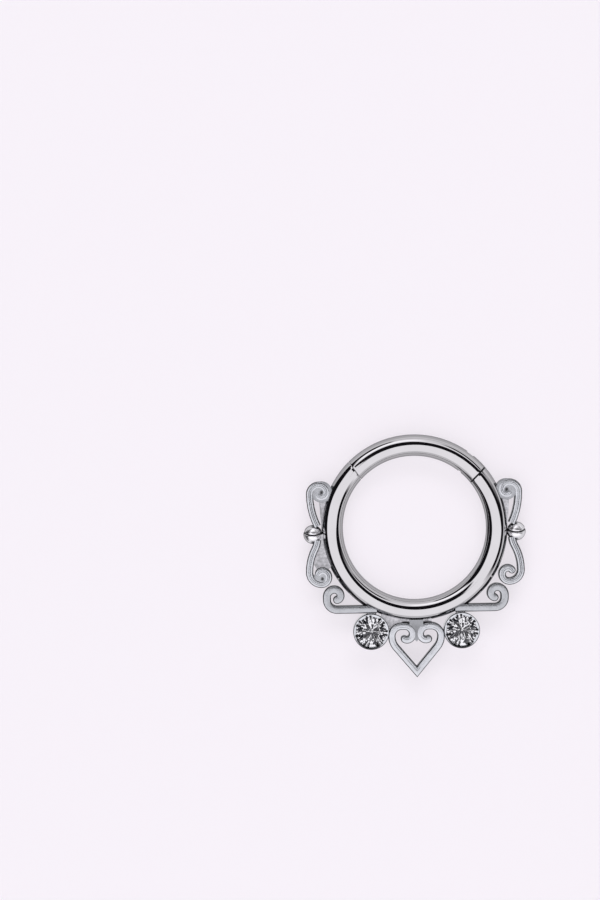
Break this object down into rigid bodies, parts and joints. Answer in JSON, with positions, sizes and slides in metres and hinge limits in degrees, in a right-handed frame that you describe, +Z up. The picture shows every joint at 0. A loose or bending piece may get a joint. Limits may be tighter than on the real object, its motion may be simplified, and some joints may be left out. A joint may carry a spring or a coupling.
{
  "type": "septum ring",
  "caption": "Hinged septum clicker ring with an openwork drop of scrolls, side beads, an open heart and round faceted crystals.",
  "frame": {"origin": "under the middle of the outline, on the surface that the ring lies on", "axes": "+Z up, along the ring's axis and out of its front; +Y towards the hinged segment, -Y towards the heart; +X towards the hinge"},
  "size_m": [0.0124, 0.0136, 0.0013],
  "materials": {
    "steel": "polished",
    "crystal": "gloss"
  },
  "bodies": {
    "ring": {"ring_body": "steel", "stone_left": "crystal", "stone_right": "crystal"},
    "segment": {"hinged_segment": "steel", "hinge_pin": "steel"}
  },
  "joints": [
    {"name": "segment_hinge", "type": "hinge", "parent": "ring", "child": "segment", "pos_m": [0.003, 0.00534, 0.0006], "axis": [0, 0, -1], "range_deg": [0, 50]}
  ]
}
